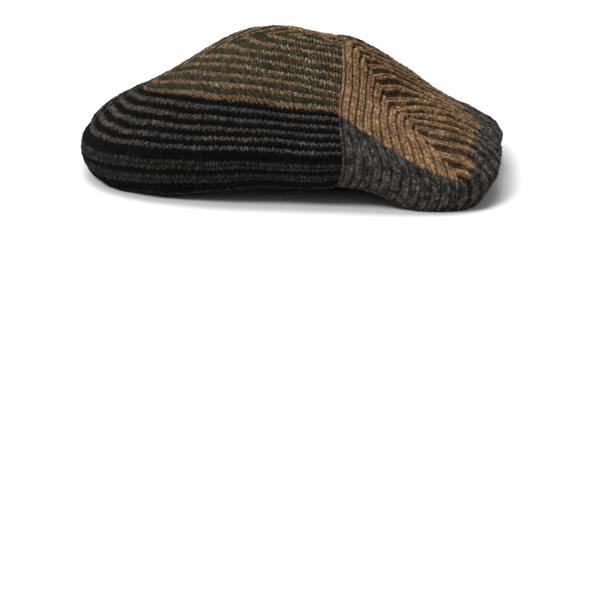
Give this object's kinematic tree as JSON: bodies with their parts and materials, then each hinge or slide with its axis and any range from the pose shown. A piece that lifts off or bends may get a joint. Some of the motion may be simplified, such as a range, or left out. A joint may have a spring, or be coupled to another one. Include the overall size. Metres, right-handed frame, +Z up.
{
  "type": "knit beret",
  "caption": "Slouchy knit beret: striped and ribbed quarters meeting at mitres, rolled rim and a headband inside.",
  "frame": {"origin": "centre of the footprint, on the floor the rolled rim rests on", "axes": "+Z up, -Y to the front where the striped and ribbed quarters meet, +X to the wearer's left"},
  "size_m": [0.263, 0.2442, 0.0873],
  "materials": {
    "crown_front_left": "knitted wool, tan and olive grey stripes",
    "crown_front_right": "ribbed knitted wool, heather tan",
    "crown_back_right": "knitted wool, tan and olive grey stripes",
    "crown_back_left": "ribbed knitted wool, heather tan",
    "rim_front_left": "knitted wool, black and dark grey stripes",
    "rim_front_right": "ribbed knitted wool, heather charcoal",
    "rim_back_right": "knitted wool, black and dark grey stripes",
    "rim_back_left": "ribbed knitted wool, heather charcoal",
    "headband": "ribbed knitted wool, charcoal"
  },
  "bodies": {
    "root": {"crown_front_left": "crown_front_left", "crown_front_right": "crown_front_right", "crown_back_right": "crown_back_right", "crown_back_left": "crown_back_left", "rim_front_left": "rim_front_left", "rim_front_right": "rim_front_right", "rim_back_right": "rim_back_right", "rim_back_left": "rim_back_left", "headband": "headband"}
  },
  "joints": []
}
